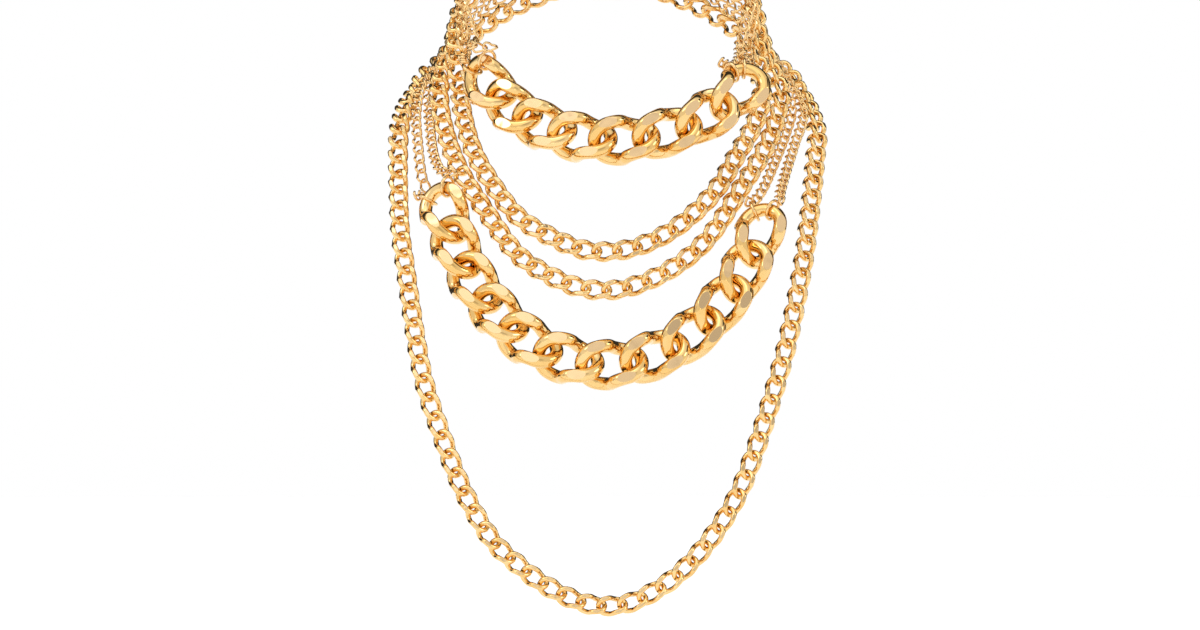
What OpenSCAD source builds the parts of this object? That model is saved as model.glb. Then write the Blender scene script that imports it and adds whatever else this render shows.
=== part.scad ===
// Layered necklace of curb chains that share one clasp behind the neck.
// Millimetres, +Z up, the wearer faces -Y, origin at the middle of the clasp's inner face.

/* [Medium chains] */
// Distance from one link to the next
chain_pitch = 8.75; // [8.5:0.05:9.5]
// Width across a link
chain_width = 8.8; // [8.5:0.1:9.2]
// Diameter of the wire
chain_wire = 2.1; // [1.6:0.05:2.15]
// Turn of each end of a link, in degrees
chain_twist = 36; // [34:1:38]
// Slack between two links
chain_play = 0.6; // [0.5:0.05:0.8]

/* [Chunky links] */
// Distance from one chunky link to the next
chunky_pitch = 18.7; // [18:0.1:19]
// Width across a chunky link
chunky_width = 21.5; // [21:0.1:22]
// Diameter of its bar
chunky_wire = 5.7; // [4.8:0.1:5.8]
// Thickness between the two ground faces
chunky_thickness = 12.6; // [12:0.1:13.5]
// Turn of each end of a link, in degrees
chunky_twist = 34; // [33:1:40]
// Slack between two links
chunky_play = 1.4; // [1.3:0.1:1.8]

/* [Fine chains] */
// Width of a fine chain
fine_width = 5; // [4.4:0.1:5.2]
// Thickness of a fine chain
fine_thickness = 2.9; // [2.4:0.1:3.2]

/* [Jump rings] */
// Mean radius of a jump ring
ring_radius = 4.2; // [4.1:0.1:4.4]
// Wire of a jump ring
ring_wire = 1.3; // [1:0.1:1.4]
// Gap left between a ring and the bar that carries it
ring_gap = 0.2; // [0.15:0.05:0.3]

/* [Clasp] */
// Width of the clasp bar, from side to side of the neck
clasp_width = 16; // [12:1:18]
// Thickness of the clasp bar
clasp_thickness = 5; // [4:0.5:6]
// Height of the bar beyond the outermost chains
clasp_margin = 0.6; // [0.4:0.1:2]
// Mean radius of the loops that hold the medium chains
loop_radius = 2.6; // [2.5:0.1:2.8]
// Wire of these loops
loop_wire = 1.6; // [1.3:0.1:1.7]

/* [Layers] */
// Gap between neighbouring chains where they lie side by side behind the neck
row_gap = 0.8; // [0.7:0.1:1]

/* [Hidden] */

gold = [0.93, 0.73, 0.38];
pale_gold = [0.96, 0.8, 0.5];
round_wire = 24;
round_bend = 48;
end_sweep = 75;
choker_count = 8;
bib_count = 12;

// Points that each strand passes in front, chosen by hand.
// x runs to the viewer's right, y to the back, z up.
long_points = [[-90, -11, 86], [-91, -27, 72], [-89.5, -54, 40], [-86.5, -68, 20], [-82, -84, -7],
    [-77.5, -94, -29], [-70, -101, -51], [-61, -108, -73.5], [-49, -113, -94], [-37, -115, -105.5],
    [-23.5, -117, -115], [-7.5, -118, -121.5], [9, -118, -121], [25.5, -117, -112.5], [38, -114, -101],
    [48, -111, -88], [56, -107, -74], [62, -103, -59], [69.5, -95, -36.5], [76, -86, -14.5],
    [81, -75, 7], [85, -62, 27.5], [88, -46, 47.5], [90.4, -29, 66], [91.6, -12, 82]];
middle_points = [[-73.5, -14, 96], [-70.3, -30, 79], [-63.2, -48.3, 61.5], [-51.9, -63.4, 44], [-39.5, -77, 27],
    [-27, -84, 18], [-11, -88, 11.5], [5.5, -88.5, 11], [21.5, -85, 16.5], [35.5, -78, 25.5], [46, -70, 36.5],
    [57.5, -55, 54.5], [68.5, -37, 72.5], [74.4, -20, 88.5], [75.8, -8, 98]];
inner_points = [[-65, -12, 103], [-62.5, -31, 86], [-57, -48, 69], [-46.5, -62, 52], [-37, -70, 41],
    [-23.5, -77, 33], [-8.5, -81, 27.5], [8.5, -81, 28], [24, -77, 34], [37, -70, 43.5], [47.5, -60.5, 55],
    [55, -49.5, 67.5], [62, -38, 79.5], [67, -25, 91.5], [67.5, -12, 103]];
choker_points = [[-51.5, -38.5, 99.5], [-41.5, -50, 89], [-27.5, -59.5, 81], [-11, -66, 76],
    [7.5, -69.5, 75], [26, -69, 78.5], [42.5, -65, 85.5], [56, -58, 96]];
bib_points = [[-69.3, -63.5, 42], [-64.2, -73, 28], [-57, -79, 14], [-47, -87.5, 0.5], [-34, -94, -11],
    [-18, -98, -18.5], [0.5, -100, -21], [18.5, -99, -17.5], [34.5, -96, -9], [47.5, -90.5, 3.5],
    [57.5, -83.5, 17.5], [64, -75, 33]];
bib_left_outer_points = [[-78, -40, 53], [-80.5, -36, 60.5], [-82.5, -26, 75], [-83.5, -11, 90]];
bib_left_inner_points = [[-72, -48, 62.5], [-75.5, -34, 70], [-77.4, -19, 82], [-78.2, -6, 92.2]];
bib_right_inner_points = [[64, -58.5, 50], [68, -50, 56], [73, -36, 67], [78.1, -20, 79.4], [81.1, -7, 91.4]];
bib_right_outer_points = [[74.5, -61, 53], [77.5, -45, 62.5], [81.6, -29, 74.4], [85.9, -11.5, 88.7]];
choker_left_outer_points = [[-62, -18, 113]];
choker_left_inner_points = [[-58, -42, 116], [-58.5, -31, 118.5], [-58.5, -18, 120]];
choker_right_inner_points = [[54.5, -39, 107.5], [57.5, -25, 112.5]];
choker_right_outer_points = [[61, -38, 107], [62.5, -23, 110]];

// The way of the middle chain over the shoulder to the clasp, left side. The others lie beside it.
shoulder_points = [[-72, 3, 111], [-68, 15.5, 126.5], [-61, 27, 141], [-50, 37.5, 153],
    [-34.5, 45.5, 162.5]];
clasp_middle = [0, 52, 168];
clasp_lean = 11;
clasp_slope = 0.1;

// How far each link's outer face turns sideways, strand by strand
face_side = 0.15;
long_turn = 0.1;
middle_turn = 0.2;
inner_turn = 0.3;
choker_turn = 1.1;
bib_turn = 0.05;
bib_fine_turn = 0.4;
choker_fine_turn = 1.1;

// Vectors and frames
function unit(v) = v / norm(v);
function clamp(v, low, high) = min(max(v, low), high);
function mix(a, b, t) = a + (b - a) * t;
function columns(a, b, c, o) = [
    [a[0], b[0], c[0], o[0]], [a[1], b[1], c[1], o[1]], [a[2], b[2], c[2], o[2]], [0, 0, 0, 1]];
function moved(frame, p) = let (q = frame * [p[0], p[1], p[2], 1]) [q[0], q[1], q[2]];
function turned(frame, v) = moved(frame, v) - moved(frame, [0, 0, 0]);

// Outward direction of a strand at a point: forward on the chest, up on the shoulder, back on the nape
function outward(p, turn) = let (
        t = clamp((p[1] + 45) / 90, 0, 1),
        k = t < 0.5 ? mix(turn, 0.8, 2 * t) : mix(0.8, 2, 2 * t - 1))
    [p[0] * k / 100 + face_side * max(cos(180 * t), 0), -cos(180 * t), 0.2 + 0.9 * sin(180 * t)];
function face(p, t, turn) = let (n = outward(p, turn)) unit(n - (n * t) * t);
function link_frame(p, t, turn) = let (n = face(p, t, turn)) columns(t, cross(n, t), n, p);

// Smooth line through points, with the tables that give a point at a distance along it
function bend_at(a, b, c, d, t) = 0.5 * (2 * b + (c - a) * t + (2 * a - 5 * b + 4 * c - d) * t * t
    + (3 * b - a - 3 * c + d) * t * t * t);
function smooth(points, first, last, steps = 12) = let (
        p = concat([first], points, [last]),
        line = [for (i = [1 : len(p) - 3], k = [0 : steps - 1])
            bend_at(p[i - 1], p[i], p[i + 1], p[i + 2], k / steps)])
    concat(line, [points[len(points) - 1]]);
function gaps(line) = [for (i = [0 : len(line) - 1]) i == 0 ? 0 : norm(line[i] - line[i - 1])];
function sums(v) = [for (i = 0, s = 0; i < len(v); i = i + 1, s = s + (i < len(v) ? v[i] : 0)) s];
function route(points, first, last) = let (line = smooth(points, first, last), s = sums(gaps(line)))
    [line, [for (k = [0 : 2]) [for (i = [0 : len(s) - 1]) [s[i], line[i][k]]]], s[len(s) - 1]];
function route_length(r) = r[2];
function on_route(r, s) = let (line = r[0], n = len(line) - 1)
    s < 0 ? line[0] + unit(line[0] - line[1]) * -s
    : s > r[2] ? line[n] + unit(line[n] - line[n - 1]) * (s - r[2])
    : [for (k = [0 : 2]) lookup(s, r[1][k])];
function along(r, s, reach) = unit(on_route(r, s + reach) - on_route(r, s - reach));
function flipped(p) = [-p[0], p[1], p[2]];
function reversed(v) = [for (i = [len(v) - 1 : -1 : 0]) v[i]];
function past(a, b) = 2 * a - b;

// Rows behind the neck, counted from the middle chain towards the head
row_step = chain_width / 2 + row_gap + fine_width / 2;
inner_row = chain_width + row_gap;
choker_outer_row = inner_row + row_step;
choker_inner_row = choker_outer_row + fine_width + row_gap;
bib_inner_row = -row_step;
bib_outer_row = bib_inner_row - fine_width - row_gap;
long_row = bib_outer_row - row_step;

// Medium and chunky links: two end arcs and four side arcs of one round wire, turned about their length
function link_length(wire, pitch, play) = pitch + 2 * wire + play;
function arcs(c, bend, sweep, turn) = let (
        p = [c + bend * cos(sweep), bend * sin(sweep) * cos(turn), bend * sin(sweep) * sin(turn)],
        t = [-sin(sweep), cos(sweep) * cos(turn), cos(sweep) * sin(turn)],
        a = sin(sweep) * p[0] - t[2] * p[2],
        q = p[0] * p[0] + p[2] * p[2],
        m = [0, p[1] + (-a + sqrt(a * a + t[1] * t[1] * q)) / t[1], 0],
        d = m - p,
        g = acos(t * unit(d)),
        n = unit(cross(t, unit(d))),
        r = norm(d) / (2 * sin(g)),
        centre = p + r * cross(n, t))
    [m[1], r, 2 * g, centre, unit(p - centre), n];
function solve_bend(wire, length, width, sweep, turn, low, high, n) = let (b = (low + high) / 2)
    n == 0 ? b
    : 2 * arcs((length - wire) / 2 - b, b, sweep, turn)[0] + wire < width
        ? solve_bend(wire, length, width, sweep, turn, b, high, n - 1)
        : solve_bend(wire, length, width, sweep, turn, low, b, n - 1);
function link_shape(wire, pitch, width, twist, play, sweep) = let (
        length = link_length(wire, pitch, play),
        bend = solve_bend(wire, length, width, sweep, -twist, 0.2 * width, 0.48 * width, 30),
        c = (length - wire) / 2 - bend)
    [wire, c, bend, sweep, -twist, arcs(c, bend, sweep, -twist)];
medium = link_shape(chain_wire, chain_pitch, chain_width, chain_twist, chain_play, end_sweep);
chunky = link_shape(chunky_wire, chunky_pitch, chunky_width, chunky_twist, chunky_play, end_sweep);

// Place and direction of the wire's middle at an angle round a link's right end
function wire_point(s, angle) = let (
        side = angle < 0 ? -1 : 1,
        turn = abs(angle),
        more = (turn - s[3]) * s[2] / s[5][1],
        u = turn > s[3] ? cross(s[5][5], s[5][4]) : [0, 0, 0],
        p = turn > s[3]
            ? s[5][3] + s[5][1] * (s[5][4] * cos(more) + u * sin(more))
            : [s[1] + s[2] * cos(turn), s[2] * sin(turn) * cos(s[4]), s[2] * sin(turn) * sin(s[4])],
        away = turn > s[3]
            ? s[5][4] * cos(more) + u * sin(more)
            : [cos(turn), sin(turn) * cos(s[4]), sin(turn) * sin(s[4])],
        t = turn > s[3]
            ? u * cos(more) - s[5][4] * sin(more)
            : [-sin(turn), cos(turn) * cos(s[4]), cos(turn) * sin(s[4])])
    [[p[0], side * p[1], side * p[2]], [away[0], side * away[1], side * away[2]],
        [side * t[0], t[1], t[2]]];

// Strands
function shoulder(row, side, reach) = let (
        last = [-clasp_width / 2 - reach, clasp_middle[1] - (clasp_width / 2 + reach) * clasp_slope, clasp_middle[2]],
        p = concat(shoulder_points, [last]),
        n = len(p) - 1)
    [for (i = [0 : n]) let (
            t = i == n ? unit([1, clasp_slope, 0]) : unit(p[i + 1] - p[max(i - 1, 0)]),
            q = p[i] + row * cross(t, face(p[i], t, 0.8)))
        side == "left" ? q : flipped(q)];
chain_reach = link_length(chain_wire, chain_pitch, chain_play) / 2 + loop_radius - (loop_wire + chain_wire) / 2;
fine_reach = 3.5;
function chain_route(front, row) = let (
        p = concat(reversed(shoulder(row, "left", chain_reach)), front, shoulder(row, "right", chain_reach)))
    route(p, flipped(p[0]), flipped(p[len(p) - 1]));
function open_route(p) = route(p, past(p[0], p[1]), past(p[len(p) - 1], p[len(p) - 2]));

long_route = chain_route(long_points, long_row);
middle_route = chain_route(middle_points, 0);
inner_route = chain_route(inner_points, inner_row);
choker_route = open_route(choker_points);
bib_route = open_route(bib_points);

function chain_count(r) = floor(route_length(r) / chain_pitch) + 1;
function chain_frame(r, turn, i) = let (
        s = route_length(r) * i / (chain_count(r) - 1),
        t = along(r, s, chain_pitch / 2))
    link_frame(on_route(r, s), t, turn);
function chunky_frame(r, turn, count, i) = let (
        s = route_length(r) / 2 + (i - (count - 1) / 2) * chunky_pitch,
        t = along(r, s, chunky_pitch / 2))
    link_frame(on_route(r, s), t, turn);

// A fine chain: [chunky link's frame, angle of its ring round the link's end, side, points, row, turn]
function choker_fine(side, angle, points, row) =
    [chunky_frame(choker_route, choker_turn, choker_count, side == "left" ? 0 : choker_count - 1),
        side == "left" ? 180 : 0, angle, side, points, row, choker_fine_turn];
function bib_fine(side, angle, points, row) =
    [chunky_frame(bib_route, bib_turn, bib_count, side == "left" ? 0 : bib_count - 1),
        side == "left" ? 180 : 0, angle, side, points, row, bib_fine_turn];
choker_left_outer_fine = choker_fine("left", 0, choker_left_outer_points, choker_outer_row);
choker_left_inner_fine = choker_fine("left", -75, choker_left_inner_points, choker_inner_row);
choker_right_inner_fine = choker_fine("right", 85, choker_right_inner_points, choker_inner_row);
choker_right_outer_fine = choker_fine("right", 48, choker_right_outer_points, choker_outer_row);
bib_left_outer_fine = bib_fine("left", 38, bib_left_outer_points, bib_outer_row);
bib_left_inner_fine = bib_fine("left", -38, bib_left_inner_points, bib_inner_row);
bib_right_inner_fine = bib_fine("right", 40, bib_right_inner_points, bib_inner_row);
bib_right_outer_fine = bib_fine("right", -14, bib_right_outer_points, bib_outer_row);

// A ring hangs round the bar of a chunky link and lies across it
ring_shift = ring_radius - ring_wire / 2 - chunky_wire / 2 - ring_gap;
function half_turn(v, a) = a == 0 ? v : [-v[0], -v[1], v[2]];
function ring_frame(f) = let (
        w = wire_point(chunky, f[2]),
        away = half_turn(w[1], f[1]),
        p = half_turn(w[0], f[1]) + away * ring_shift,
        t = half_turn(w[2], f[1]))
    columns(turned(f[0], away), turned(f[0], cross(t, away)), turned(f[0], t), moved(f[0], p));
function fine_route(f) = let (
        ring = ring_frame(f),
        start = moved(ring, [ring_radius + ring_wire / 2 + fine_gap, 0, 0]),
        p = concat([start], f[4], shoulder(f[5], f[3], fine_reach)),
        n = len(p) - 1)
    route(p, past(p[0], p[1]), flipped(p[n]));
fine_gap = 1.2;
fine_ring_step = 10;
fine_lead = 5;
function fine_section(r, s, turn, size) = let (
        p = on_route(r, s),
        m = link_frame(p, along(r, s, 2.5), turn))
    [for (k = [0 : 7]) moved(m, size
        * [0, fine_width / 2 * cos(45 * k + 22.5), fine_thickness / 2 * sin(45 * k + 22.5)])];

module arc(bend, angle, wire) {
    less = 0.01 * 180 / (PI * bend);
    rotate([0, 0, less])
        rotate_extrude(angle = angle - 2 * less, $fn = round_bend)
            translate([bend, 0]) circle(d = wire, $fn = round_wire);
}

module key(bend, wire) {
    translate([bend, 0, 0]) rotate([90, 0, 0])
        cylinder(d = 0.9 * wire, h = 0.17 * wire, center = true, $fn = round_wire);
}

module link_half(s) {
    at = columns(s[5][4], cross(s[5][5], s[5][4]), s[5][5], s[5][3]);
    translate([s[1], 0, 0]) rotate([s[4], 0, 0]) rotate([0, 0, -s[3]]) arc(s[2], 2 * s[3], s[0]);
    for (a = [0, 180]) rotate([a, 0, 0]) multmatrix(at) {
        arc(s[5][1], s[5][2], s[0]);
        key(s[5][1], s[0]);
    }
    multmatrix(at) rotate([0, 0, s[5][2]]) key(s[5][1], s[0]);
}

module curb_link(s) {
    union() {
        link_half(s);
        rotate([0, 0, 180]) link_half(s);
    }
}

module placed(frame) {
    translate([0, -clasp_middle[1], -clasp_middle[2]]
        + clasp_thickness / 2 * [0, cos(clasp_lean), sin(clasp_lean)])
        multmatrix(frame) children();
}

module chunky_link(frame) {
    size = chunky_pitch + chunky_width + 4 * chunky_wire;
    color(gold) placed(frame) intersection() {
        curb_link(chunky);
        cube([size, size, chunky_thickness], center = true);
    }
}

module choker_link(i) { chunky_link(chunky_frame(choker_route, choker_turn, choker_count, i)); }

module bib_link(i) { chunky_link(chunky_frame(bib_route, bib_turn, bib_count, i)); }

module chain(r, turn, side) {
    count = chain_count(r);
    half = floor(count / 2);
    first = side == "left" ? 0 : half;
    last = side == "left" ? half - 1 : count - 1;
    color(gold) for (i = [first : last]) placed(chain_frame(r, turn, i)) curb_link(medium);
}

module fine_chain(f) {
    r = fine_route(f);
    rings = ceil((route_length(r) - fine_lead) / fine_ring_step) + 2;
    points = [for (i = [0 : rings - 1]) each i == 0
        ? fine_section(r, 0, f[6], 0.35)
        : fine_section(r, fine_lead + (route_length(r) - fine_lead) * (i - 1) / (rings - 2), f[6], 1)];
    sides = [for (i = [0 : rings - 2], k = [0 : 7]) let (a = i * 8 + k, b = i * 8 + (k + 1) % 8)
        each [[a, a + 8, b + 8], [a, b + 8, b]]];
    ends = [[for (k = [0 : 7]) k], [for (k = [7 : -1 : 0]) (rings - 1) * 8 + k]];
    color(pale_gold) placed(columns([1, 0, 0], [0, 1, 0], [0, 0, 1], [0, 0, 0]))
        polyhedron(points, concat(sides, ends));
}

module jump_ring(f) {
    color(pale_gold) placed(ring_frame(f))
        rotate_extrude($fn = round_bend) translate([ring_radius, 0]) circle(d = ring_wire, $fn = round_wire);
}

module bar_outline(w, h, r) {
    square([w - 2 * r, h], center = true);
    square([w, h - 2 * r], center = true);
    for (x = [-1, 1], y = [-1, 1]) translate([x * (w / 2 - r), y * (h / 2 - r)]) circle(r, $fn = 48);
}

module loop(bend, wire) {
    rotate([90, 0, 0]) rotate_extrude($fn = round_bend) translate([bend, 0]) circle(d = wire, $fn = round_wire);
}

module clasp() {
    top = choker_inner_row + fine_width / 2 + clasp_margin;
    low = long_row - chain_width / 2 - clasp_margin;
    lean = columns([1, 0, 0], [0, -sin(clasp_lean), cos(clasp_lean)], [0, -cos(clasp_lean), -sin(clasp_lean)],
        clasp_middle);
    color(gold) union() {
        placed(lean) translate([0, (top + low) / 2, 0])
            linear_extrude(clasp_thickness, center = true) bar_outline(clasp_width, top - low, 2);
        for (x = [-1, 1]) {
            end_loop(long_route, long_turn, x);
            end_loop(middle_route, middle_turn, x);
            end_loop(inner_route, inner_turn, x);
            for (row = [bib_outer_row, bib_inner_row, choker_outer_row, choker_inner_row])
                clasp_loop(x, row, 1.5, 1.1);
        }
    }
}

// A loop round the end of a medium chain, turned square to the wire that passes through it
module end_loop(r, turn, x) {
    placed(chain_frame(r, turn, x < 0 ? 0 : chain_count(r) - 1))
        translate([x * (medium[1] + medium[2]), 0, 0]) rotate([-x * chain_twist, 0, 0]) loop(loop_radius, loop_wire);
}

module clasp_loop(x, row, bend, wire) {
    p = [-clasp_width / 2 - bend + wire / 2, clasp_middle[1] - (clasp_width / 2 + bend) * clasp_slope, clasp_middle[2]];
    t = unit([1, clasp_slope, 0]);
    w = cross(t, face(p, t, 0.8));
    q = p + row * w;
    placed(columns([x, 0, 0], [0, w[1], w[2]], [0, -w[2] * x, w[1] * x], x > 0 ? flipped(q) : q)) loop(bend, wire);
}

choker_link(0);  // choker_link_01
choker_link(1);  // choker_link_02
choker_link(2);  // choker_link_03
choker_link(3);  // choker_link_04
choker_link(4);  // choker_link_05
choker_link(5);  // choker_link_06
choker_link(6);  // choker_link_07
choker_link(7);  // choker_link_08
bib_link(0);  // bib_link_01
bib_link(1);  // bib_link_02
bib_link(2);  // bib_link_03
bib_link(3);  // bib_link_04
bib_link(4);  // bib_link_05
bib_link(5);  // bib_link_06
bib_link(6);  // bib_link_07
bib_link(7);  // bib_link_08
bib_link(8);  // bib_link_09
bib_link(9);  // bib_link_10
bib_link(10);  // bib_link_11
bib_link(11);  // bib_link_12
chain(inner_route, inner_turn, "left");  // inner_chain_left
chain(inner_route, inner_turn, "right");  // inner_chain_right
chain(middle_route, middle_turn, "left");  // middle_chain_left
chain(middle_route, middle_turn, "right");  // middle_chain_right
chain(long_route, long_turn, "left");  // long_chain_left
chain(long_route, long_turn, "right");  // long_chain_right
fine_chain(choker_left_outer_fine);  // choker_left_outer
fine_chain(choker_left_inner_fine);  // choker_left_inner
fine_chain(choker_right_inner_fine);  // choker_right_inner
fine_chain(choker_right_outer_fine);  // choker_right_outer
fine_chain(bib_left_outer_fine);  // bib_left_outer
fine_chain(bib_left_inner_fine);  // bib_left_inner
fine_chain(bib_right_inner_fine);  // bib_right_inner
fine_chain(bib_right_outer_fine);  // bib_right_outer
jump_ring(choker_left_outer_fine);  // choker_left_outer_ring
jump_ring(choker_left_inner_fine);  // choker_left_inner_ring
jump_ring(choker_right_inner_fine);  // choker_right_inner_ring
jump_ring(choker_right_outer_fine);  // choker_right_outer_ring
jump_ring(bib_left_outer_fine);  // bib_left_outer_ring
jump_ring(bib_left_inner_fine);  // bib_left_inner_ring
jump_ring(bib_right_inner_fine);  // bib_right_inner_ring
jump_ring(bib_right_outer_fine);  // bib_right_outer_ring
clasp();
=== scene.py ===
import math

import bpy
import numpy
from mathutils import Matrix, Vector


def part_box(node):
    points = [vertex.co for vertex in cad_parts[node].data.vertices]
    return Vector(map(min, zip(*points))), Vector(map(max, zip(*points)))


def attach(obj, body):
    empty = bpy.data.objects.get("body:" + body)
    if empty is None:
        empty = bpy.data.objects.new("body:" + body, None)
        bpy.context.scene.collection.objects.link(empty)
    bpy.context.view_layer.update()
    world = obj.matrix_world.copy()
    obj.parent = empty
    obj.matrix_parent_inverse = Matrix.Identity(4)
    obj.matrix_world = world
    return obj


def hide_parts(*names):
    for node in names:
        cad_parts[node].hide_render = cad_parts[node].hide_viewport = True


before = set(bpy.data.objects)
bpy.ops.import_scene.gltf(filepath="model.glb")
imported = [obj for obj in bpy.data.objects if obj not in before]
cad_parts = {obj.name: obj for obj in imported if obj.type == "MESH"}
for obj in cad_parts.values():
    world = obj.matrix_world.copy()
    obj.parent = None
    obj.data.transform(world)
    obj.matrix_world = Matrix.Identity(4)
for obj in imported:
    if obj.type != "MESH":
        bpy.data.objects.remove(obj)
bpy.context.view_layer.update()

mm = 0.001

# where the photo was taken from: straight ahead, a little below the middle of the piece
view = {
    "distance": 2.56,
    "height": -0.1675,
    "side": -0.003,
    "back": -0.0495,
    "lens": 174.4,
    "sensor": 36,
    "reach": 50,
}

cameraData = bpy.data.cameras.new("camera")
cameraData.lens = view["lens"]
cameraData.sensor_width = view["sensor"]
cameraData.clip_end = view["reach"]
camera = bpy.data.objects.new("camera", cameraData)
camera.location = (view["side"], view["back"] - view["distance"], view["height"])
camera.rotation_euler = (math.radians(90), 0, 0)
bpy.context.collection.objects.link(camera)
bpy.context.scene.camera = camera
print("camera placed")


# small helpers for node trees
def addNode(tree, kind, settings=None, values=None):
    node = tree.nodes.new(kind)
    for name, value in (settings or {}).items():
        setattr(node, name, value)
    for socket, value in (values or {}).items():
        if isinstance(value, bpy.types.NodeSocket):
            tree.links.new(value, node.inputs[socket])
        else:
            node.inputs[socket].default_value = value
    return node


def mathStep(tree, operation, first, second=None):
    node = addNode(tree, "ShaderNodeMath", {"operation": operation}, {0: first})
    if isinstance(second, bpy.types.NodeSocket):
        tree.links.new(second, node.inputs[1])
    elif second is not None:
        node.inputs[1].default_value = second
    return node.outputs[0]


def smoothRange(tree, value, low, high, start=0.0, end=1.0):
    node = addNode(tree, "ShaderNodeMapRange", {"interpolation_type": "SMOOTHSTEP"}, {
        "Value": value, "From Min": low, "From Max": high, "To Min": start, "To Max": end})
    return node.outputs[0]


# polished plate: one colour family, four finishes
metals = {
    "chunky_gold": {
        "deep": (0.87, 0.56, 0.2), "pale": (0.94, 0.66, 0.3), "ground": (0.86, 0.6, 0.32),
        "rough": (0.03, 0.09), "groundRough": 0.12,
        "patch": 60, "wave": 0.2, "waveScale": 160, "grain": 0.006,
    },
    "chain_gold": {
        "deep": (0.87, 0.56, 0.21), "pale": (0.94, 0.66, 0.3), "ground": (0.88, 0.62, 0.32),
        "rough": (0.04, 0.1), "groundRough": 0.12,
        "patch": 90, "wave": 0.12, "waveScale": 420, "grain": 0.006,
    },
    "fine_gold": {
        "deep": (0.86, 0.57, 0.25), "pale": (0.92, 0.64, 0.31), "ground": (0.88, 0.61, 0.3),
        "rough": (0.08, 0.16), "groundRough": 0.16,
        "patch": 120, "wave": 0.03, "waveScale": 600, "grain": 0.01,
    },
    "clasp_gold": {
        "deep": (0.86, 0.57, 0.24), "pale": (0.92, 0.64, 0.3), "ground": (0.86, 0.57, 0.27),
        "rough": (0.12, 0.24), "groundRough": 0.2,
        "patch": 80, "wave": 0.05, "waveScale": 220, "grain": 0.04,
    },
}
# what the four finishes share
polish = {
    "patchEdges": (0.35, 0.65),
    "smearEdges": (0.3, 0.7),
    "smearTimes": 7,
    "grainTimes": 12,
    "waveDepth": 0.001,
    "grainDepth": 0.0002,
}


def makeMetal(name):
    look = metals[name]
    metal = bpy.data.materials.new(name)
    metal.use_nodes = True
    tree = metal.node_tree
    shader = tree.nodes["Principled BSDF"]
    shader.inputs["Metallic"].default_value = 1
    where = addNode(tree, "ShaderNodeTexCoord").outputs["Object"]
    # plating is a little redder in soft patches
    patches = addNode(tree, "ShaderNodeTexNoise", None, {
        "Vector": where, "Scale": look["patch"], "Detail": 3})
    tone = addNode(tree, "ShaderNodeMix", {"data_type": "RGBA"})
    tree.links.new(smoothRange(tree, patches.outputs["Fac"], *polish["patchEdges"]), tone.inputs["Factor"])
    tone.inputs[6].default_value = (*look["deep"], 1)
    tone.inputs[7].default_value = (*look["pale"], 1)
    # the ground faces are a touch browner and duller
    ground = addNode(tree, "ShaderNodeAttribute", {"attribute_name": "ground"}).outputs["Fac"]
    brown = addNode(tree, "ShaderNodeMix", {"data_type": "RGBA"})
    tree.links.new(ground, brown.inputs["Factor"])
    tree.links.new(tone.outputs[2], brown.inputs[6])
    brown.inputs[7].default_value = (*look["ground"], 1)
    tree.links.new(brown.outputs[2], shader.inputs["Base Color"])
    # polish is uneven
    smear = addNode(tree, "ShaderNodeTexNoise", None, {
        "Vector": where, "Scale": look["patch"] * polish["smearTimes"], "Detail": 4, "Roughness": 0.6})
    rough = smoothRange(tree, smear.outputs["Fac"], *polish["smearEdges"], *look["rough"])
    flat = mathStep(tree, "MULTIPLY", ground, look["groundRough"])
    tree.links.new(mathStep(tree, "MAXIMUM", rough, flat), shader.inputs["Roughness"])
    # tumbled surface: long soft waves with a faint grain on top
    waves = addNode(tree, "ShaderNodeTexNoise", None, {
        "Vector": where, "Scale": look["waveScale"], "Detail": 1})
    grain = addNode(tree, "ShaderNodeTexNoise", None, {
        "Vector": where, "Scale": look["waveScale"] * polish["grainTimes"], "Detail": 3})
    soft = addNode(tree, "ShaderNodeBump", None, {
        "Height": waves.outputs["Fac"], "Strength": look["wave"], "Distance": polish["waveDepth"]})
    fine = addNode(tree, "ShaderNodeBump", None, {
        "Height": grain.outputs["Fac"], "Strength": look["grain"], "Distance": polish["grainDepth"],
        "Normal": soft.outputs[0]})
    tree.links.new(fine.outputs[0], shader.inputs["Normal"])
    return metal


metalOf = {name: makeMetal(name) for name in metals}
print("metals ready")


# a curb link's wire: two end arcs and four side arcs, the ends turned about the link's length
def sideArc(middle, bend, sweep, turn):
    start = Vector((middle + bend * math.cos(sweep), bend * math.sin(sweep) * math.cos(turn),
                    bend * math.sin(sweep) * math.sin(turn)))
    along = Vector((-math.sin(sweep), math.cos(sweep) * math.cos(turn), math.cos(sweep) * math.sin(turn)))
    lean = math.sin(sweep) * start.x - along.z * start.z
    across = start.x ** 2 + start.z ** 2
    top = Vector((0, start.y + (-lean + math.sqrt(lean ** 2 + along.y ** 2 * across)) / along.y, 0))
    way = top - start
    half = math.acos(along.dot(way.normalized()))
    axis = along.cross(way.normalized()).normalized()
    radius = way.length / (2 * math.sin(half))
    centre = start + radius * axis.cross(along)
    return {"top": top, "radius": radius, "angle": 2 * half, "centre": centre,
            "out": (start - centre).normalized(), "axis": axis}


# the end bend is found by halving its range until the link has its width
bendSearch = {"low": 0.2, "high": 0.48, "halvings": 40}


def linkShape(size):
    wire, turn, sweep = size["wire"], -math.radians(size["twist"]), math.radians(size["sweep"])
    length = size["pitch"] + 2 * wire + size["play"]
    low, high = bendSearch["low"] * size["width"], bendSearch["high"] * size["width"]
    for halving in range(bendSearch["halvings"]):
        bend = (low + high) / 2
        middle = (length - wire) / 2 - bend
        narrow = 2 * sideArc(middle, bend, sweep, turn)["top"].y + wire < size["width"]
        low, high = (bend, high) if narrow else (low, bend)
    return {"middle": middle, "bend": bend, "sweep": sweep, "turn": turn,
            "side": sideArc(middle, bend, sweep, turn)}


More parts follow.
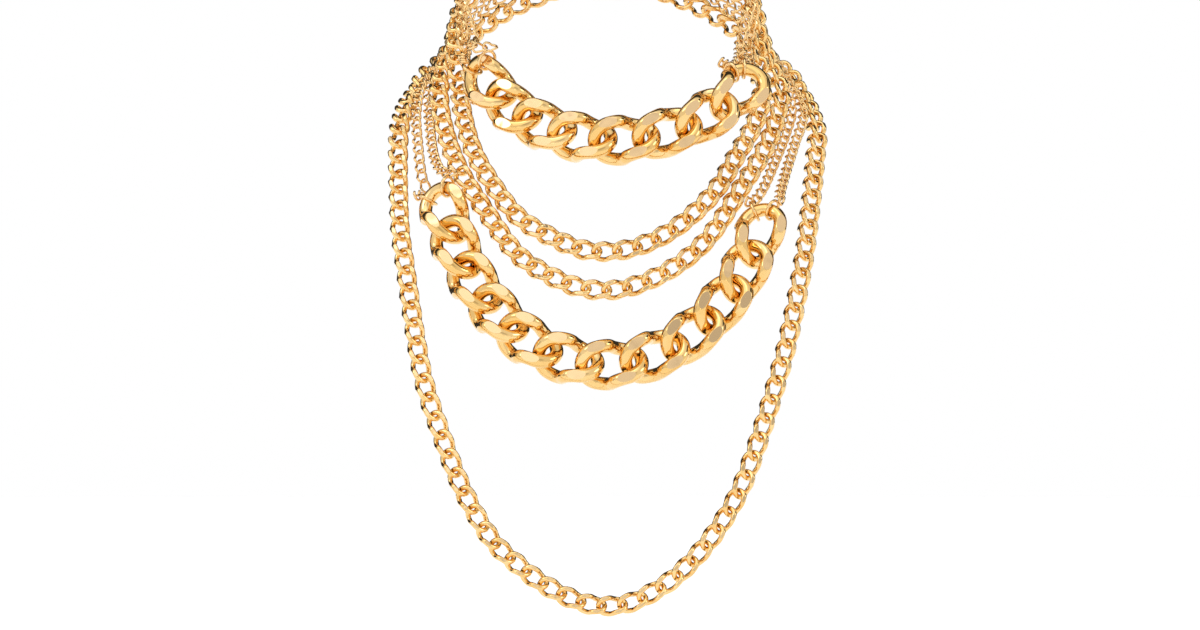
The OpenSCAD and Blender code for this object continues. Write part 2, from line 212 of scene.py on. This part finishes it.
def linkLine(shape, endSteps, sideSteps):
    side = shape["side"]
    quarter = []
    for step in range(endSteps):
        angle = shape["sweep"] * step / endSteps
        quarter.append(Vector((shape["middle"] + shape["bend"] * math.cos(angle),
                               shape["bend"] * math.sin(angle) * math.cos(shape["turn"]),
                               shape["bend"] * math.sin(angle) * math.sin(shape["turn"]))))
    across = side["axis"].cross(side["out"])
    for step in range(sideSteps):
        angle = side["angle"] * step / sideSteps
        away = side["out"] * math.cos(angle) + across * math.sin(angle)
        quarter.append(side["centre"] + side["radius"] * away)
    quarter.append(side["top"])
    left = [Vector((-p.x, p.y, -p.z)) for p in reversed(quarter[1:-1])]
    upper = quarter + left + [Vector((-quarter[0].x, 0, 0))]
    lower = [Vector((-p.x, -p.y, p.z)) for p in upper[1:-1]]
    return upper + lower


# the butt joint of a link: the wire narrows for a hair's breadth
def withSeam(line, size):
    at = round(size["seamAt"] * len(line))
    here, after = line[at], line[(at + 1) % len(line)]
    along = (after - here).normalized()
    narrow = 1 - size["seamDepth"]
    seam = ((-1.4, 1), (-0.5, 1), (-0.3, narrow), (0.3, narrow), (0.5, 1), (1.4, 1))
    points, radii = [], []
    for index, point in enumerate(line):
        if index == at:
            points += [here + along * size["seamGap"] * shift for shift, radius in seam]
            radii += [radius for shift, radius in seam]
        else:
            points.append(point)
            radii.append(1)
    return points, radii


def linkWire(name, size):
    line = linkLine(linkShape(size), size["endSteps"], size["sideSteps"])
    points, radii = withSeam(line, size) if "seamAt" in size else (line, [1] * len(line))
    data = bpy.data.curves.new(name, "CURVE")
    data.dimensions = "3D"
    spline = data.splines.new("POLY")
    spline.points.add(len(points) - 1)
    for place, point in enumerate(points):
        spline.points[place].co = (*(point * mm), 1)
        spline.points[place].radius = radii[place]
    spline.use_cyclic_u = True
    curve = bpy.data.objects.new(name, data)
    bpy.context.collection.objects.link(curve)
    return curve


# one tree for every row of links: bend the wire, grind both faces flat, set a link at each guide point
rowInputs = {
    "Places": ("NodeSocketGeometry", None),
    "Link Wire": ("NodeSocketObject", None),
    "Wire Radius": ("NodeSocketFloat", 0.001),
    "Wire Sides": ("NodeSocketInt", 10),
    "Ground Thickness": ("NodeSocketFloat", 0.004),
    "Sway": ("NodeSocketFloat", 0.0),
    "Seed": ("NodeSocketInt", 1),
    "Metal": ("NodeSocketMaterial", None),
}
grinding = {"slab": 0.1, "levelFrom": 0.9995}


def linkRowTree():
    tree = bpy.data.node_groups.new("linkRow", "GeometryNodeTree")
    sockets = {}
    for name, (kind, value) in rowInputs.items():
        socket = tree.interface.new_socket(name, in_out="INPUT", socket_type=kind)
        if value is not None:
            socket.default_value = value
        sockets[name] = socket.identifier
    tree.interface.new_socket("Chain", in_out="OUTPUT", socket_type="NodeSocketGeometry")
    given = addNode(tree, "NodeGroupInput").outputs
    bent = addNode(tree, "GeometryNodeObjectInfo", None, {"Object": given["Link Wire"]})
    profile = addNode(tree, "GeometryNodeCurvePrimitiveCircle", None, {
        "Resolution": given["Wire Sides"], "Radius": given["Wire Radius"]})
    tube = addNode(tree, "GeometryNodeCurveToMesh", None, {
        "Curve": bent.outputs["Geometry"], "Profile Curve": profile.outputs["Curve"]})
    slabSize = addNode(tree, "ShaderNodeCombineXYZ", None, {
        "X": grinding["slab"], "Y": grinding["slab"], "Z": given["Ground Thickness"]})
    slab = addNode(tree, "GeometryNodeMeshCube", None, {"Size": slabSize.outputs[0]})
    ground = addNode(tree, "GeometryNodeMeshBoolean", {"operation": "INTERSECT", "solver": "EXACT"})
    tree.links.new(tube.outputs["Mesh"], ground.inputs["Mesh 2"])
    tree.links.new(slab.outputs["Mesh"], ground.inputs["Mesh 2"])
    # the ground faces are the ones that look straight up or down
    facing = addNode(tree, "ShaderNodeSeparateXYZ", None, {
        0: addNode(tree, "GeometryNodeInputNormal").outputs[0]}).outputs["Z"]
    level = mathStep(tree, "GREATER_THAN", mathStep(tree, "ABSOLUTE", facing), grinding["levelFrom"])
    marked = addNode(tree, "GeometryNodeStoreNamedAttribute", {"data_type": "FLOAT", "domain": "FACE"}, {
        "Geometry": ground.outputs["Mesh"], "Name": "ground", "Value": level})
    rounded = addNode(tree, "GeometryNodeSetShadeSmooth", None, {
        "Geometry": marked.outputs["Geometry"],
        "Shade Smooth": mathStep(tree, "LESS_THAN", level, 0.5)})
    facesOut = addNode(tree, "GeometryNodeInputNamedAttribute", {"data_type": "FLOAT_VECTOR"}, {
        "Name": "facesOut"})
    runsAlong = addNode(tree, "GeometryNodeInputNamedAttribute", {"data_type": "FLOAT_VECTOR"}, {
        "Name": "runsAlong"})
    turn = addNode(tree, "FunctionNodeAxesToRotation", {"primary_axis": "Z", "secondary_axis": "X"}, {
        "Primary Axis": facesOut.outputs["Attribute"], "Secondary Axis": runsAlong.outputs["Attribute"]})
    # each link rolls a little about its length
    swayLow = mathStep(tree, "MULTIPLY", given["Sway"], -1.0)
    sway = addNode(tree, "FunctionNodeRandomValue", {"data_type": "FLOAT"})
    tree.links.new(swayLow, sway.inputs[2])
    tree.links.new(given["Sway"], sway.inputs[3])
    tree.links.new(given["Seed"], sway.inputs["Seed"])
    roll = addNode(tree, "ShaderNodeCombineXYZ", None, {"X": sway.outputs[1]})
    swayed = addNode(tree, "FunctionNodeRotateRotation", {"rotation_space": "LOCAL"}, {
        "Rotation": turn.outputs[0]})
    rolled = addNode(tree, "FunctionNodeEulerToRotation", None, {0: roll.outputs[0]})
    tree.links.new(rolled.outputs[0], swayed.inputs["Rotate By"])
    placed = addNode(tree, "GeometryNodeInstanceOnPoints", None, {
        "Points": given["Places"], "Instance": rounded.outputs["Geometry"], "Rotation": swayed.outputs[0]})
    real = addNode(tree, "GeometryNodeRealizeInstances", None, {"Geometry": placed.outputs["Instances"]})
    coated = addNode(tree, "GeometryNodeSetMaterial", None, {
        "Geometry": real.outputs["Geometry"], "Material": given["Metal"]})
    addNode(tree, "NodeGroupOutput", None, {"Chain": coated.outputs["Geometry"]})
    return tree, sockets


linkRow, rowSockets = linkRowTree()
print("link row tree ready")


def makeRow(name, places, wire, size, metal):
    guide = bpy.data.meshes.new(name + "_guide")
    guide.from_pydata([place["at"] for place in places], [], [])
    for word in ("facesOut", "runsAlong"):
        column = guide.attributes.new(word, "FLOAT_VECTOR", "POINT")
        column.data.foreach_set("vector", [part for place in places for part in place[word]])
    row = bpy.data.objects.new(name, guide)
    bpy.context.collection.objects.link(row)
    repeat = row.modifiers.new("links", "NODES")
    repeat.node_group = linkRow
    given = {
        "Link Wire": wire,
        "Wire Radius": size["wire"] / 2 * mm,
        "Wire Sides": size["sides"],
        "Ground Thickness": size["ground"] * mm,
        "Sway": math.radians(size["sway"]),
        "Seed": size["seed"],
        "Metal": metal,
    }
    for word, value in given.items():
        repeat[rowSockets[word]] = value
    graph = bpy.context.evaluated_depsgraph_get()
    mesh = bpy.data.meshes.new_from_object(row.evaluated_get(graph), depsgraph=graph)
    row.modifiers.clear()
    row.data = mesh
    mesh.name = name
    bpy.data.meshes.remove(guide)
    return row


cornerDigits = 7


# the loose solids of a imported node, each as its triangles' corners
def looseSolids(nodeName):
    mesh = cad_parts[nodeName].data
    mesh.calc_loop_triangles()
    points = numpy.empty(len(mesh.vertices) * 3)
    mesh.vertices.foreach_get("co", points)
    corners = numpy.empty(len(mesh.loop_triangles) * 3, dtype=numpy.int32)
    mesh.loop_triangles.foreach_get("vertices", corners)
    # the mesh is loose triangles, so corners at one place are joined first
    rounded = numpy.round(points.reshape(-1, 3), cornerDigits)
    points, same = numpy.unique(rounded, axis=0, return_inverse=True)
    corners = same.reshape(-1)[corners].reshape(-1, 3)
    # corners that share a triangle take the lowest label among them, until nothing changes
    label = numpy.arange(len(points))
    settled = False
    while not settled:
        lowest = label[corners].min(axis=1)
        after = label.copy()
        for corner in range(3):
            numpy.minimum.at(after, corners[:, corner], lowest)
        after = after[after]
        settled = (after == label).all()
        label = after
    solidOf = label[corners[:, 0]]
    return [points[corners[solidOf == solid]] for solid in numpy.unique(solidOf)]


# a link's face looks away from the neck: forward on the chest, back and outward elsewhere
neckSides = {
    "chestBefore": -0.04, "forwardBefore": -0.05,
    "forward": -0.02, "back": 0.03, "up": 0.02, "side": 4,
}


def awayFromNeck(middle):
    if middle[1] < neckSides["chestBefore"]:
        ahead = min(middle[1] - neckSides["forwardBefore"], 0) + neckSides["forward"]
    else:
        ahead = neckSides["back"]
    return Vector((middle[0] * neckSides["side"], ahead, neckSides["up"]))


# where a packed link is: its middle, its long axis and its thin axis, weighed by area
def linkPlace(triangles):
    a, b, c = (triangles[:, corner] for corner in range(3))
    area = numpy.linalg.norm(numpy.cross(b - a, c - a), axis=1) / 2
    middle = ((a + b + c) / 3 * area[:, None]).sum(axis=0) / area.sum()
    spread = numpy.zeros((3, 3))
    for one in (a - middle, b - middle, c - middle, a + b + c - 3 * middle):
        spread += numpy.einsum("i,ij,ik->jk", area, one, one)
    thin, wide, long = (Vector(axis) for axis in numpy.linalg.eigh(spread)[1].T)
    if thin.dot(awayFromNeck(middle)) < 0:
        thin = -thin
    if long.x < 0:
        long = -long
    return {"at": Vector(middle), "facesOut": thin, "runsAlong": long}


def linkPlaces(nodeName):
    return [linkPlace(triangles) for triangles in looseSolids(nodeName)]


# chunky links: the two rows that carry the look of the piece
chunkySize = {
    "pitch": 18.7, "width": 21.5, "wire": 5.7, "ground": 13.2, "twist": 34, "play": 1.4, "sweep": 75,
    "sides": 40, "endSteps": 20, "sideSteps": 9,
    "seamAt": 0.14, "seamGap": 0.14, "seamDepth": 0.012,
    "sway": 0.0, "seed": 1,
}
chunkyCounts = {"choker": 8, "bib": 12}
chunkyWire = linkWire("chunkyWire", chunkySize)
chunkyLinks = {}
for strand, count in chunkyCounts.items():
    for number in range(1, count + 1):
        nodeName = f"{strand}_link_{number:02d}"
        places = linkPlaces(nodeName)
        pieceName = f"{strand}_curb_{number:02d}"
        piece = makeRow(pieceName, places, chunkyWire, chunkySize, metalOf["chunky_gold"])
        chunkyLinks[nodeName] = places[0]
        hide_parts(nodeName)
        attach(piece, "root")
print("chunky links made:", len(chunkyLinks))

# medium links: the three plain curb chains, each in two halves
mediumSize = {
    "pitch": 8.75, "width": 8.8, "wire": 2.2, "ground": 5.7, "twist": 36, "play": 0.6, "sweep": 75,
    "sides": 12, "endSteps": 6, "sideSteps": 3,
    "seamAt": 0.14, "seamGap": 0.1, "seamDepth": 0.02,
    "sway": 1.0, "seed": 1,
}
mediumWire = linkWire("mediumWire", mediumSize)
for strand in ("inner", "middle", "long"):
    for half in ("left", "right"):
        nodeName = f"{strand}_chain_{half}"
        places = linkPlaces(nodeName)
        piece = makeRow(f"{strand}_curb_{half}", places, mediumWire, mediumSize, metalOf["chain_gold"])
        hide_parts(nodeName)
        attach(piece, "root")
        print(nodeName, "has", len(places), "links")

# fine chains run from the rings to the clasp, over the same route as their plain solids
fineSize = {
    "pitch": 5, "width": 5, "wire": 1.1, "ground": 2.9, "twist": 36, "play": 0.3, "sweep": 75,
    "sides": 6, "endSteps": 3, "sideSteps": 1,
    "sway": 2.0, "seed": 7,
    "rowGap": 0.8, "firstLink": 6.1, "claspReach": 3.5, "routeSteps": 12,
}
claspSize = {"middle": (0, 52, 168), "width": 16, "thickness": 5, "lean": 11, "slope": 0.1}
fineWire = linkWire("fineWire", fineSize)

# routes are in the part's own millimetres, and the frame starts at the middle of the clasp's inner face
claspLean = math.radians(claspSize["lean"])
claspOut = Vector((0, math.cos(claspLean), math.sin(claspLean)))
collarMiddle = Vector(claspSize["middle"]) - claspSize["thickness"] / 2 * claspOut
shoulderPoints = [(-72, 3, 111), (-68, 15.5, 126.5), (-61, 27, 141), (-50, 37.5, 153), (-34.5, 45.5, 162.5)]

# rows behind the neck, counted from the middle chain towards the head
rowStep = mediumSize["width"] / 2 + fineSize["rowGap"] + fineSize["width"] / 2
fineStep = fineSize["width"] + fineSize["rowGap"]
chokerOuterRow = mediumSize["width"] + fineSize["rowGap"] + rowStep
chokerInnerRow = chokerOuterRow + fineStep
bibInnerRow = -rowStep
bibOuterRow = bibInnerRow - fineStep

# how far the chest stretch of a fine chain turns its face to the side
chokerTurn = 1.1
bibTurn = 0.4
fineChains = {
    "choker_left_outer": {
        "link": "choker_link_01", "row": chokerOuterRow, "turn": chokerTurn,
        "points": [(-62, -18, 113)],
    },
    "choker_left_inner": {
        "link": "choker_link_01", "row": chokerInnerRow, "turn": chokerTurn,
        "points": [(-58, -42, 116), (-58.5, -31, 118.5), (-58.5, -18, 120)],
    },
    "choker_right_inner": {
        "link": "choker_link_08", "row": chokerInnerRow, "turn": chokerTurn,
        "points": [(54.5, -39, 107.5), (57.5, -25, 112.5)],
    },
    "choker_right_outer": {
        "link": "choker_link_08", "row": chokerOuterRow, "turn": chokerTurn,
        "points": [(61, -38, 107), (62.5, -23, 110)],
    },
    "bib_left_outer": {
        "link": "bib_link_01", "row": bibOuterRow, "turn": bibTurn,
        "points": [(-78, -40, 53), (-80.5, -36, 60.5), (-82.5, -26, 75), (-83.5, -11, 90)],
    },
    "bib_left_inner": {
        "link": "bib_link_01", "row": bibInnerRow, "turn": bibTurn,
        "points": [(-72, -48, 62.5), (-75.5, -34, 70), (-77.4, -19, 82), (-78.2, -6, 92.2)],
    },
    "bib_right_inner": {
        "link": "bib_link_12", "row": bibInnerRow, "turn": bibTurn,
        "points": [(64, -58.5, 50), (68, -50, 56), (73, -36, 67), (78.1, -20, 79.4), (81.1, -7, 91.4)],
    },
    "bib_right_outer": {
        "link": "bib_link_12", "row": bibOuterRow, "turn": bibTurn,
        "points": [(74.5, -61, 53), (77.5, -45, 62.5), (81.6, -29, 74.4), (85.9, -11.5, 88.7)],
    },
}

# a fine link's face looks forward on the chest, up on the shoulder and back on the nape
facing = {
    "chestAt": -45, "napeAt": 45,
    "shoulderTurn": 0.8, "napeTurn": 2.0, "sideReach": 100, "chestLean": 0.15,
    "up": 0.2, "shoulderUp": 0.9,
}


def faceOut(point, along, turn):
    share = min(max((point.y - facing["chestAt"]) / (facing["napeAt"] - facing["chestAt"]), 0), 1)
    if share < 0.5:
        side = turn + (facing["shoulderTurn"] - turn) * 2 * share
    else:
        side = facing["shoulderTurn"] + (facing["napeTurn"] - facing["shoulderTurn"]) * (2 * share - 1)
    forward = math.cos(math.pi * share)
    out = Vector((point.x * side / facing["sideReach"] + facing["chestLean"] * max(forward, 0), -forward,
                  facing["up"] + facing["shoulderUp"] * math.sin(math.pi * share)))
    return (out - along * out.dot(along)).normalized()


def mirrored(point):
    return Vector((-point.x, point.y, point.z))


def shoulderLine(row, side):
    reach = claspSize["width"] / 2 + fineSize["claspReach"]
    lastPoint = Vector((-reach, claspSize["middle"][1] - reach * claspSize["slope"], claspSize["middle"][2]))
    points = [*(Vector(point) for point in shoulderPoints), lastPoint]
    line = []
    for place, point in enumerate(points):
        if place == len(points) - 1:
            along = Vector((1, claspSize["slope"], 0)).normalized()
        else:
            along = (points[place + 1] - points[max(place - 1, 0)]).normalized()
        moved = point + row * along.cross(faceOut(point, along, facing["shoulderTurn"]))
        line.append(moved if side == "left" else mirrored(moved))
    return line


def smoothLine(points, first, last):
    ends = [first, *points, last]
    line = []
    for place in range(1, len(ends) - 2):
        a, b, c, d = ends[place - 1:place + 3]
        for step in range(fineSize["routeSteps"]):
            t = step / fineSize["routeSteps"]
            line.append(0.5 * (2 * b + (c - a) * t + (2 * a - 5 * b + 4 * c - d) * t * t
                               + (3 * b - a - 3 * c + d) * t ** 3))
    return line + [points[-1]]


def pointAlong(line, sums, distance):
    if distance <= 0:
        return line[0] + (line[1] - line[0]).normalized() * distance
    for place in range(1, len(line)):
        if sums[place] >= distance:
            share = (distance - sums[place - 1]) / (sums[place] - sums[place - 1])
            return line[place - 1].lerp(line[place], share)
    return line[-1] + (line[-1] - line[-2]).normalized() * (distance - sums[-1])


# the first link hangs in its ring, on the far side of the chunky link's end bend
def fineLine(nodeName, chain):
    side = "left" if "left" in nodeName else "right"
    holder = chunkyLinks[chain["link"]]
    ringLow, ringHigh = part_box(nodeName + "_ring")
    ringMiddle = (ringLow + ringHigh) / 2 / mm + collarMiddle
    bendOffset = linkShape(chunkySize)["middle"] * (-1 if side == "left" else 1)
    bendMiddle = holder["at"] / mm + collarMiddle + holder["runsAlong"] * bendOffset
    away = (ringMiddle - bendMiddle).normalized()
    points = [ringMiddle + away * fineSize["firstLink"], *(Vector(point) for point in chain["points"]),
              *shoulderLine(chain["row"], side)]
    return smoothLine(points, 2 * points[0] - points[1], mirrored(points[-1]))


def placesAlong(line, turn):
    sums = [0.0]
    for before, after in zip(line, line[1:]):
        sums.append(sums[-1] + (after - before).length)
    steps = round(sums[-1] / fineSize["pitch"])
    half = fineSize["pitch"] / 2
    places = []
    for index in range(steps + 1):
        distance = sums[-1] * index / steps
        point = pointAlong(line, sums, distance)
        before, after = pointAlong(line, sums, distance - half), pointAlong(line, sums, distance + half)
        along = (after - before).normalized()
        places.append({"at": (point - collarMiddle) * mm, "facesOut": faceOut(point, along, turn),
                       "runsAlong": along})
    return places


for nodeName, chain in fineChains.items():
    places = placesAlong(fineLine(nodeName, chain), chain["turn"])
    piece = makeRow(nodeName + "_links", places, fineWire, fineSize, metalOf["fine_gold"])
    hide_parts(nodeName)
    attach(piece, "root")
    print(nodeName, "has", len(places), "links")

# rings and clasp keep their solids and take the finish
for name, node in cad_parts.items():
    if name.endswith("_ring") or name == "clasp":
        metal = metalOf["clasp_gold" if name == "clasp" else "fine_gold"]
        node.data.materials.clear()
        node.data.materials.append(metal)
print("rings and clasp finished")

for wire in (chunkyWire, mediumWire, fineWire):
    bpy.data.objects.remove(wire)

# plain pale floor, about 50 mm below the longest chain
floorLook = {
    "height": -0.3425, "radius": 3.0, "cornerStep": 5,
    "colour": (0.95, 0.95, 0.95), "rough": 0.9, "lift": 0.4,
}


def makeFloor():
    angles = [math.radians(angle) for angle in range(0, 360, floorLook["cornerStep"])]
    corners = [(floorLook["radius"] * math.cos(angle), floorLook["radius"] * math.sin(angle),
                floorLook["height"]) for angle in angles]
    floorMesh = bpy.data.meshes.new("floor")
    floorMesh.from_pydata(corners, [], [tuple(range(len(corners)))])
    floor = bpy.data.objects.new("floor", floorMesh)
    bpy.context.collection.objects.link(floor)
    paper = bpy.data.materials.new("paper")
    paper.use_nodes = True
    paperShader = paper.node_tree.nodes["Principled BSDF"]
    paperShader.inputs["Base Color"].default_value = (*floorLook["colour"], 1)
    paperShader.inputs["Roughness"].default_value = floorLook["rough"]
    paperShader.inputs["Emission Color"].default_value = (1, 1, 1, 1)
    paperShader.inputs["Emission Strength"].default_value = floorLook["lift"]
    floorMesh.materials.append(paper)
    return floor


floor = makeFloor()
print("floor laid")

# soft studio round the piece: pale walls, a wide box, small hot boxes, dark cards,
# a grey gap in front and a dark ring behind; widths are in degrees
studio = {
    "walls": 0.9,
    "boxes": [
        {"from": (-0.25, -0.5, 0.85), "wide": 26, "soft": 14, "glow": 0.45},
        {"from": (-0.72, -0.38, 0.58), "wide": 7, "soft": 3, "glow": 2.6},
        {"from": (-0.1, -0.2, 0.98), "wide": 6, "soft": 4, "glow": 1.0},
        {"from": (0.85, -0.3, 0.45), "wide": 7, "soft": 3, "glow": 2.4},
        {"from": (0.05, -0.98, -0.15), "wide": 6, "soft": 4, "glow": 1.4},
        {"from": (-0.75, -0.35, -0.3), "wide": 8, "soft": 5, "glow": 1.4},
    ],
    "cards": [
        {"from": (0.78, 0.05, 0.62), "wide": 10, "soft": 3, "level": 0.0},
        {"from": (0.25, -0.6, -0.75), "wide": 14, "soft": 5, "level": 0.05},
        {"from": (-0.6, -0.3, -0.75), "wide": 9, "soft": 4, "level": 0.35},
        {"from": (-0.35, -0.72, 0.6), "wide": 4, "soft": 2, "level": 0.1},
        {"from": (-0.95, -0.2, 0.15), "wide": 5, "soft": 4, "level": 0.4},
    ],
    "gap": {"from": (0.38, -0.82, 0.46), "wide": 12, "soft": 6, "level": 0.62},
    "ring": {"inner": 8, "outer": 74, "soft": 8, "level": 0.04},
}


def makeStudio():
    world = bpy.data.worlds.new("studio")
    bpy.context.scene.world = world
    world.use_nodes = True
    tree = world.node_tree
    tree.nodes.clear()
    way = addNode(tree, "ShaderNodeTexCoord").outputs["Generated"]

    def angleTo(direction):
        dot = addNode(tree, "ShaderNodeVectorMath", {"operation": "DOT_PRODUCT"}, {0: way})
        dot.inputs[1].default_value = Vector(direction).normalized()
        angle = mathStep(tree, "ARCCOSINE", mathStep(tree, "MINIMUM", dot.outputs["Value"], 1.0))
        return mathStep(tree, "DEGREES", angle)

    def spot(patch):
        edge = patch["wide"] + patch["soft"]
        return smoothRange(tree, angleTo(patch["from"]), patch["wide"], edge, 1.0, 0.0)

    def mixTo(level, amount, target):
        mix = addNode(tree, "ShaderNodeMix", {"data_type": "FLOAT"})
        tree.links.new(amount, mix.inputs[0])
        tree.links.new(level, mix.inputs[2])
        mix.inputs[3].default_value = target
        return mix.outputs[0]

    level = addNode(tree, "ShaderNodeValue").outputs[0]
    level.default_value = studio["walls"]
    for box in studio["boxes"]:
        level = mathStep(tree, "ADD", level, mathStep(tree, "MULTIPLY", spot(box), box["glow"]))
    for card in (*studio["cards"], studio["gap"]):
        level = mixTo(level, spot(card), card["level"])
    behind = angleTo((0, 1, 0))
    ring = studio["ring"]
    inside = smoothRange(tree, behind, ring["inner"] - ring["soft"], ring["inner"] + ring["soft"])
    outside = smoothRange(tree, behind, ring["outer"] - ring["soft"], ring["outer"] + ring["soft"], 1.0, 0.0)
    level = mixTo(level, mathStep(tree, "MULTIPLY", inside, outside), ring["level"])
    # the camera sees plain white
    seen = addNode(tree, "ShaderNodeLightPath").outputs["Is Camera Ray"]
    level = mixTo(level, seen, 1.0)
    shine = addNode(tree, "ShaderNodeBackground", None, {"Color": (1, 1, 1, 1), "Strength": level})
    addNode(tree, "ShaderNodeOutputWorld", None, {"Surface": shine.outputs[0]})


makeStudio()
bpy.context.scene.view_settings.view_transform = "Standard"
print("studio lit")
